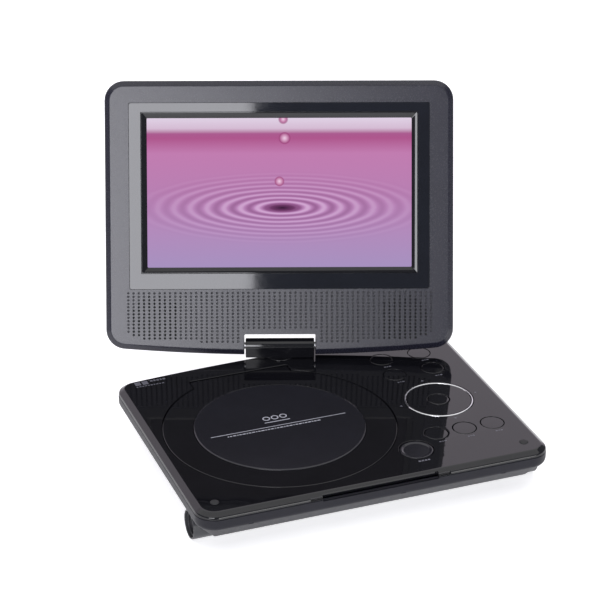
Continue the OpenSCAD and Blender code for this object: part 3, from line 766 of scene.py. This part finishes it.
def make_base_trim():
    finish_piece(add_object("feet", build_feet, [RUBBER]), "base", "feet", "base_feet")
    finish_piece(add_object("bumpers", build_bumpers, [RUBBER]), "base", "bumpers", "lid_bumpers")
    channel = across_x(TUBE_Y, TUBE_R)
    tube = add_object("tube", build_tube, [SLEEVE], channel)
    finish_piece(tube, "base", "battery_sleeve", "battery_tube")
    caps = add_object("tube_caps", build_tube_caps, [SIDE_BLACK], channel)
    finish_piece(caps, "base", "battery_ends", "battery_caps")


# ---- disc door ----


def build_door(bm):
    """A flat plate with a round recess for the panel."""
    low = DOOR_FACE - 1.8
    edge = soften([(4, low), (0, low), (0, DOOR_FACE), (4, DOOR_FACE)], [0.2, 0.45])
    rings = stack(bm, lambda inset: door_outline(-inset), edge[1:-1])
    recess = lathe(
        bm,
        [(48.35, DOOR_FACE), (48.1, DOOR_FACE - 0.25), (48.1, DOOR_FACE - 0.9), (0, DOOR_FACE - 0.9)],
        DOOR.xy,
        128,
    )
    cap(bm, [rings[0]])
    cap(bm, [rings[-1], recess[0]])


def build_panel(bm):
    low = PANEL_FACE - 1.3
    rise = PANEL_FACE - 0.3
    edge = soften(
        [(0, low), (PANEL_R, low), (PANEL_R, rise), (PANEL_R - 0.7, PANEL_FACE), (0, PANEL_FACE)],
        [0.1, 0.3, 1.0],
    )
    lathe(bm, edge, DOOR.xy, 128)


def build_panel_print(bm):
    """A thin line, a row of dashes under it and a plain ring-and-bar mark above it."""
    low, high = (PANEL_FACE + z for z in PRINT)
    block(bm, (-70, 10), (-3.5, -3.0), (low, high), 0)
    x = -61.0
    for n in range(30):
        width = 0.8 + 0.5 * ((n * 7) % 3)
        block(bm, (x, x + width), (-6.2, -5.3), (low, high), 0)
        x += width + 0.55
    ring = [(1.5, low), (2.2, low), (2.2, high), (1.5, high)]
    for n in range(3):
        closed_lathe(bm, ring, (-34 + 5 * n, 6.0), 32)
    block(bm, (-36.5, -21.5), (1.2, 1.9), (low, high), 0)


def make_door():
    door = add_object("door", build_door, [GLOSS])
    finish_piece(door, "door", "gloss_cover", "disc_door")
    panel = add_object("panel", build_panel, [SATIN])
    finish_piece(panel, "door", "door_panel", "door_panel")
    print_marks = add_object("panel_print", build_panel_print, [PANEL_INK])
    finish_piece(print_marks, "door", "bright_trim")


# ---- buttons ----


def build_key(node):
    """A round button: a stem down to its switch, a flange under the cover and a cap."""
    low, high = box_mm(node)
    profile = soften(
        [(0, low.z), (1.5, low.z), (1.5, UNDER - 0.7), (KEY_R + 1, UNDER - 0.7), (KEY_R + 1, UNDER),
         (KEY_R, UNDER), (KEY_R, high.z), (0, high.z)],
        [0.2, 0.2, 0.1, 0.1, 0.1, 0.5],
    )
    return lambda bm: lathe(bm, profile, ((low + high) / 2).xy)


def build_pad(bm):
    """The four-way plate, open in the middle, on four short feet."""
    low, high = box_mm("pad")
    body_low = low.z + 1
    inner = OK_R + 0.3
    profile = soften(
        [(inner, UNDER - 1), (inner, body_low), (PAD_R + 1.2, body_low), (PAD_R + 1.2, UNDER),
         (PAD_R - 1.3, UNDER), (PAD_R - 1.3, high.z), (inner, high.z), (inner, UNDER)],
        [0.1, 0.2, 0.2, 0.1, 0.3, 0.35],
    )
    closed_lathe(bm, profile[:-1], PAD.xy, 96)
    foot = [(0, low.z), (1.2, low.z), (1.2, body_low + 0.3), (0, body_low + 0.3)]
    for way in QUARTERS:
        lathe(bm, foot, PAD.xy + 12 * way, 24)


def build_pad_ring(bm):
    low, high = box_mm("pad_ring")
    outer = (high.x - low.x) / 2
    inner = outer - 1.25
    profile = soften(
        [(inner, low.z + 1), (inner, low.z), (outer, low.z), (outer, high.z), (inner, high.z),
         (inner, low.z + 1.2)],
        [0.1, 0.1, 0.6, 0.6],
    )
    closed_lathe(bm, profile[:-1], PAD.xy, 128)


def build_ok(bm):
    low, high = box_mm("ok_button")
    profile = soften(
        [(0, low.z), (OK_R + 1, low.z), (OK_R + 1, low.z + 0.4), (OK_R, low.z + 0.4), (OK_R, high.z),
         (0, high.z)],
        [0.1, 0.1, 0.1, 0.7],
    )
    lathe(bm, profile, PAD.xy)


def build_open(bm):
    """The OPEN button, with a shallow dish in its cap."""
    low, high = box_mm("open_button")
    profile = soften(
        [(0, low.z), (0.9, low.z), (1.6, UNDER - 0.6), (OPEN_R + 1.1, UNDER - 0.6),
         (OPEN_R + 1.1, UNDER), (OPEN_R, UNDER), (OPEN_R, high.z), (8.2, high.z),
         (7.2, high.z - 0.5), (0, high.z - 0.5)],
        [0.1, 0.1, 0.1, 0.1, 0.1, 0.5, 0.3, 1.0],
    )
    lathe(bm, profile, OPEN.xy, 96)


def make_controls():
    for n, node in enumerate(KEYS):
        key = add_object("key_%d_cap" % (n + 1), build_key(node), [GLOSS])
        finish_piece(key, body_of(node), "gloss_keys", node)
    pieces = [
        ("pad_plate", build_pad, GLOSS, "gloss_keys", "pad"),
        ("pad_bright_ring", build_pad_ring, BRIGHT, "bright_trim", "pad_ring"),
        ("ok_cap", build_ok, GLOSS, "gloss_keys", "ok_button"),
        ("open_cap", build_open, SATIN, "open_button", "open_button"),
    ]
    for name, build, material, slot, node in pieces:
        finish_piece(add_object(name, build, [material]), body_of(node), slot, node)
    labels = add_object("cover_print", build_labels, [COVER_INK])
    finish_piece(labels, "base", "bright_trim")


def dashes(bm, x, y, widths, height):
    """A row of small printed dashes on the cover, standing for lettering."""
    for width in widths:
        block(bm, (x, x + width), (y, y + height), COVER_PRINT, 0)
        x += width + 0.5


def build_labels(bm):
    """Plain dashes and triangles by the buttons, and a plain mark in the rear left corner."""
    for node in KEYS:
        centre = centre_mm(node)
        dashes(bm, centre.x - 2.2, centre.y - KEY_R - 3.2, [1.2, 0.7, 1.4], 0.9)
    dashes(bm, OPEN.x - 4, OPEN.y - OPEN_R - 3.6, [1.3, 1.3, 1.3, 1.3], 1.3)
    for way in QUARTERS:
        triangle(bm, PAD.xy + 23.2 * way, way, 0.9)
    for side in (0, 4.4):
        block(bm, (-91 + side, -87.6 + side), (68.2, 72.2), COVER_PRINT, 0)
    dashes(bm, -81.6, 70.4, [1.6, 1.2, 1.6, 1.2, 1.6], 1.7)
    dashes(bm, -91, 66.2, [1.0, 1.4] * 5, 0.9)


def triangle(bm, tip, way, size):
    """A small printed triangle pointing along way."""
    side = Vector((-way.y, way.x))
    corners = [tip + way * size, tip + side * size - way * 0.6, tip - side * size - way * 0.6]
    rings = [add_ring(bm, corners, z) for z in COVER_PRINT]
    bridge(bm, rings[0], rings[1])
    bm.faces.new(rings[0])
    bm.faces.new(rings[1])


def body_of(node):
    """The body that carries a CAD node."""
    groups = frame["record"]["behaviour"]["bodies"]
    return next(body for body, members in groups.items() if node in members)


# ---- hinge head ----


def build_barrel(bm):
    """The barrel, in a frame whose X runs backward, Y up and Z along the hinge."""
    ends = [(0.5, -BARREL_HALF), (0.12, 0.12 - BARREL_HALF), (0, 0.5 - BARREL_HALF)]
    ends += [(inset, -z) for inset, z in reversed(ends)]
    rings = stack(bm, barrel_outline, ends)
    cap(bm, [rings[0]])
    cap(bm, [rings[-1]])


def barrel_outline(inset):
    """The barrel's section: a round top on a square neck."""
    radius = BARREL_R - inset
    low = inset + FLANGE_TOP - PIVOT.z
    return [(-radius, low), (radius, low)] + arc((0, 0), radius, 0, 180, 40)


def build_flange(bm):
    """The turning flange and the hollow post under it."""
    low, high = box_mm("swivel_post")
    bore = 3.2
    profile = soften(
        [(bore, low.z + 1), (bore, low.z), (5, low.z), (5, TOP + 0.1), (FLANGE_R, TOP + 0.1),
         (FLANGE_R, high.z), (bore, high.z), (bore, low.z + 1.2)],
        [0.1, 0.3, 0.1, 0.1, 0.25, 0.1],
    )
    closed_lathe(bm, profile[:-1], PIVOT.xy, 96)


def make_head():
    flange = add_object("flange", build_flange, [GLOSS])
    finish_piece(flange, "swivel", "shafts", "swivel_post")
    upended = Matrix(((0, 0, 1, 0), (1, 0, 0, 0), (0, 1, 0, 0), (0, 0, 0, 1)))
    barrel = add_object("barrel", build_barrel, [GLOSS], HEAD @ upended)
    finish_piece(barrel, "swivel", "barrel", "hinge_barrel")


# ---- lid ----


def grille_rows(column):
    """Rows of dimples in a column counted from the nearer side of the lid."""
    if column == 0:
        return 12
    if column <= 2:
        return 13
    if column <= 13:
        return 14
    if column <= 21:
        return 15
    return 11


def is_open_hole(column, row):
    """Whether the dimple is a real hole over the loudspeaker."""
    if row == 1:
        return column in (4, 6)
    if row == 2:
        return 3 <= column <= 7
    if 3 <= row <= 13:
        return 2 <= column <= 9 or (column == 1 and row >= 5)
    return False


def add_grille(bm):
    """The cells of the dimpled field. Returns the edges round it."""
    last = GRILLE_COLUMNS - 1
    for index in range(GRILLE_COLUMNS):
        column = min(index, last - index)
        x = (index - last / 2) * CELL_X
        for row in range(grille_rows(column)):
            add_cell(bm, x, GRILLE_TOP - row * CELL_Y, is_open_hole(column, row))
    bmesh.ops.remove_doubles(bm, verts=bm.verts, dist=0.01)
    return [e for e in bm.edges if e.is_boundary]


def add_cell(bm, x, y, hole):
    """A rectangle of the lid's face with an eight-sided dimple or hole in its middle."""
    # holes take material 1, the painted shade of a deep hole; dimples take material 2, a slightly darker matte
    # painted shade
    inner_r, depth, material = (0.66, 1.3, 1) if hole else (0.52, 0.4, 2)
    halves = [(0.5, 0.5), (-0.5, 0.5), (-0.5, -0.5), (0.5, -0.5)]
    corners = add_ring(bm, [(x + a * CELL_X, y + b * CELL_Y) for a, b in halves], LID_FACE)
    rim = add_ring(bm, circle((x, y), DIMPLE_R, 8), LID_FACE)
    for n in range(4):
        start = 2 * n + 1
        run = [rim[start % 8], rim[(start + 1) % 8], rim[(start + 2) % 8]]
        bm.faces.new([corners[n], corners[(n + 1) % 4]] + run[::-1])
    inner = add_ring(bm, circle((x, y), inner_r, 8), LID_FACE - depth)
    bridge(bm, rim, inner, material)
    tip = bm.verts.new((x, y, LID_FACE - depth - 0.1))
    for n in range(8):
        bm.faces.new((tip, inner[n], inner[(n + 1) % 8])).material_index = material


def build_lid_front(bm):
    """The front shell: the grille, a seat for the bezel and the opening for the picture."""
    grille_edge = add_grille(bm)
    edge = soften(
        [(0.3, 0.02), (0, 0.3), (0, LID_FACE - 2.4), (3.0, LID_FACE), (9, LID_FACE)],
        [0.1, 1.6, 1.4],
    )[:-1]
    outer = stack(bm, lid_outline, edge)
    seat = rectangle((-88, 88), (33.4, 142.6), 0.8)
    opening = rectangle(*window(1.5), 0.5)
    rim = add_ring(bm, seat, LID_FACE)
    ledge = add_ring(bm, seat, BEZEL_SEAT)
    inner_top = add_ring(bm, opening, BEZEL_SEAT)
    inner_low = add_ring(bm, opening, LID_FACE - FRONT_SKIN)
    bridge(bm, rim, ledge)
    bridge(bm, inner_top, inner_low)
    cap(bm, [ledge, inner_top])
    cap(bm, [outer[-1], rim], grille_edge)
    wall_low = add_ring(bm, lid_outline(WALL), 0.02)
    wall_high = add_ring(bm, lid_outline(WALL), LID_FACE - FRONT_SKIN)
    bridge(bm, wall_low, wall_high)
    cap(bm, [wall_high, inner_low])
    cap(bm, [outer[0], wall_low])


def window(border):
    """The sides of the picture, grown by border."""
    x = PICTURE_HALF_W + border
    y = PICTURE_HALF_H + border
    return (-x, x), (PICTURE_Y - y, PICTURE_Y + y)


def build_lid_back(bm):
    """The back shell, with its screw pits."""
    edge = soften(
        [(0.3, -0.02), (0, -0.3), (0, 2.4 - LID_FACE), (3.0, -LID_FACE), (9, -LID_FACE)],
        [0.1, 1.6, 1.4],
    )[:-1]
    outer = stack(bm, lid_outline, edge)
    pit = [(2.4, -LID_FACE), (2.2, 0.2 - LID_FACE), (2.2, -4.4), (0, -4.4)]
    pits = [lathe(bm, pit, (x, y), 32)[0] for x in (-92, 92) for y in (8, 75, 146)]
    cap(bm, [outer[-1]] + pits)
    wall_low = add_ring(bm, lid_outline(WALL), -0.02)
    wall_high = add_ring(bm, lid_outline(WALL), BACK_SKIN - LID_FACE)
    bridge(bm, wall_low, wall_high)
    cap(bm, [wall_high])
    cap(bm, [outer[0], wall_low])


def build_bezel(bm):
    def outer(inset):
        x = BEZEL_X - inset
        return rectangle((-x, x), (BEZEL_Y[0] + inset, BEZEL_Y[1] - inset), 0.9)

    top = LID_FACE + 0.1
    low = BEZEL_SEAT + 0.05
    outside = stack(bm, outer, [(0, low), (0, top - 0.2), (0.06, top - 0.06), (0.2, top)])
    opening = rectangle(*window(4.0), 0.6)
    inside_low = add_ring(bm, opening, low)
    inside_high = add_ring(bm, opening, top)
    bridge(bm, inside_low, inside_high)
    cap(bm, [outside[-1], inside_high])
    cap(bm, [outside[0], inside_low])


def build_rim(bm):
    """A frame round the picture whose face slopes inward."""
    top = LID_FACE + 0.2
    low = BEZEL_SEAT + 0.05
    levels = [(3.9, low), (3.9, top - 0.3), (3.6, top), (3.2, top), (0.6, top - 0.7), (0.3, low)]
    rings = [add_ring(bm, rectangle(*window(border), 0.6), z) for border, z in levels]
    for first, second in zip(rings, rings[1:] + rings[:1]):
        bridge(bm, first, second)


def build_picture(bm):
    block(bm, *window(0.9), (3.72, 3.76), 0)


def make_lid():
    front = add_object("lid_front_shell", build_lid_front, [LID_MATT, PAINTED_HOLE_SHADE, DIMPLE], LID)
    finish_piece(front, "lid", "lid_shell", "lid_front")
    back = add_object("lid_back_shell", build_lid_back, [LID_MATT], LID)
    finish_piece(back, "lid", "lid_shell", "lid_back")
    bezel = add_object("bezel", build_bezel, [BEZEL_GLOSS], LID)
    finish_piece(bezel, "lid", "bezel", "screen_bezel")
    rim = add_object("rim", build_rim, [GLOSS], LID)
    finish_piece(rim, "lid", "screen_rim", "screen_rim")
    picture = add_object("picture_sheet", build_picture, [PICTURE], LID, keep_frame=True)
    picture.visible_glossy = False  # no reflections of it, which would tint the gloss cover
    finish_piece(picture, "lid", "picture")


# ---- room, light and camera ----


def glowing(name, radiance, colour):
    """A surface that only gives light, for the cards."""
    material = bpy.data.materials.new(name)
    material.use_nodes = True
    nodes = material.node_tree.nodes
    principled = nodes["Principled BSDF"]
    principled.inputs["Base Color"].default_value = (0, 0, 0, 1)
    principled.inputs["Emission Color"].default_value = (*colour, 1)
    principled.inputs["Emission Strength"].default_value = radiance
    return material


def add_card(name, centre, size, facing, radiance, colour=(1, 1, 1)):
    """A flat glowing card, in metres, turned to face a point."""
    mesh = bpy.data.meshes.new(name)
    x, y = size[0] / 2, size[1] / 2
    mesh.from_pydata([(-x, -y, 0), (x, -y, 0), (x, y, 0), (-x, y, 0)], [], [(0, 1, 2, 3)])
    mesh.materials.append(glowing(name, radiance, colour))
    card = bpy.data.objects.new(name, mesh)
    bpy.context.scene.collection.objects.link(card)
    way = Vector(facing) - Vector(centre)
    card.matrix_world = Matrix.Translation(centre) @ way.to_track_quat("Z", "Y").to_matrix().to_4x4()


def add_floor():
    mesh = bpy.data.meshes.new("floor")
    mesh.from_pydata([(-6, -6, 0), (6, -6, 0), (6, 6, 0), (-6, 6, 0)], [], [(0, 1, 2, 3)])
    mesh.materials.append(finish("floor_white", (0.86, 0.86, 0.87), (0.6, 0.7), vary=0.01, glow=0.72))
    floor = bpy.data.objects.new("floor", mesh)
    bpy.context.scene.collection.objects.link(floor)


def add_light():
    world = bpy.data.worlds.new("room")
    world.use_nodes = True
    world.node_tree.nodes["Background"].inputs["Color"].default_value = (0.9, 0.93, 1, 1)
    world.node_tree.nodes["Background"].inputs["Strength"].default_value = 0.25
    bpy.context.scene.world = world
    add_card("back_wall", (0, 3.0, 1.6), (9, 4.0), (0, 0, 1.2), 1.0, (0.98, 0.9, 1.0))
    add_card("ceiling", (0, 0.2, 3.0), (5.5, 5.0), (0, 0, 0), 1.1)
    add_card("left_card", (-2.0, -2.6, 1.3), (2.0, 1.6), (-2.0, 0, 1.3), 8.8, (0.95, 0.95, 1.0))
    add_card("front_strip", (0.9, -2.6, 0.30), (1.8, 0.56), (0.9, 0, 0.30), 5.0)


def add_camera():
    """The camera: in front and to the left, looking down at the player."""
    azimuth = math.radians(-20.823)
    elevation = math.radians(26.836)
    roll = math.radians(0.148)
    level = Vector((math.sin(azimuth), -math.cos(azimuth), 0))
    back = math.cos(elevation) * level + Vector((0, 0, math.sin(elevation)))
    right = Vector((0, 0, 1)).cross(back).normalized()
    up = back.cross(right)
    rolled_right = math.cos(roll) * right + math.sin(roll) * up
    rolled_up = math.cos(roll) * up - math.sin(roll) * right
    data = bpy.data.cameras.new("camera")
    data.lens = 132.1
    data.sensor_width = 36
    data.shift_x = 0.0265
    data.shift_y = 0.0080
    camera = bpy.data.objects.new("camera", data)
    turn = Matrix((rolled_right, rolled_up, back)).transposed().to_4x4()
    camera.matrix_world = Matrix.Translation((-0.4113, -1.0227, 0.6479)) @ turn
    bpy.context.scene.collection.objects.link(camera)
    bpy.context.scene.camera = camera


paint_nodes()
make_base_shells()
make_base_trim()
make_door()
make_controls()
make_head()
make_lid()
add_floor()
add_light()
add_camera()
bpy.context.scene.view_settings.view_transform = "Standard"
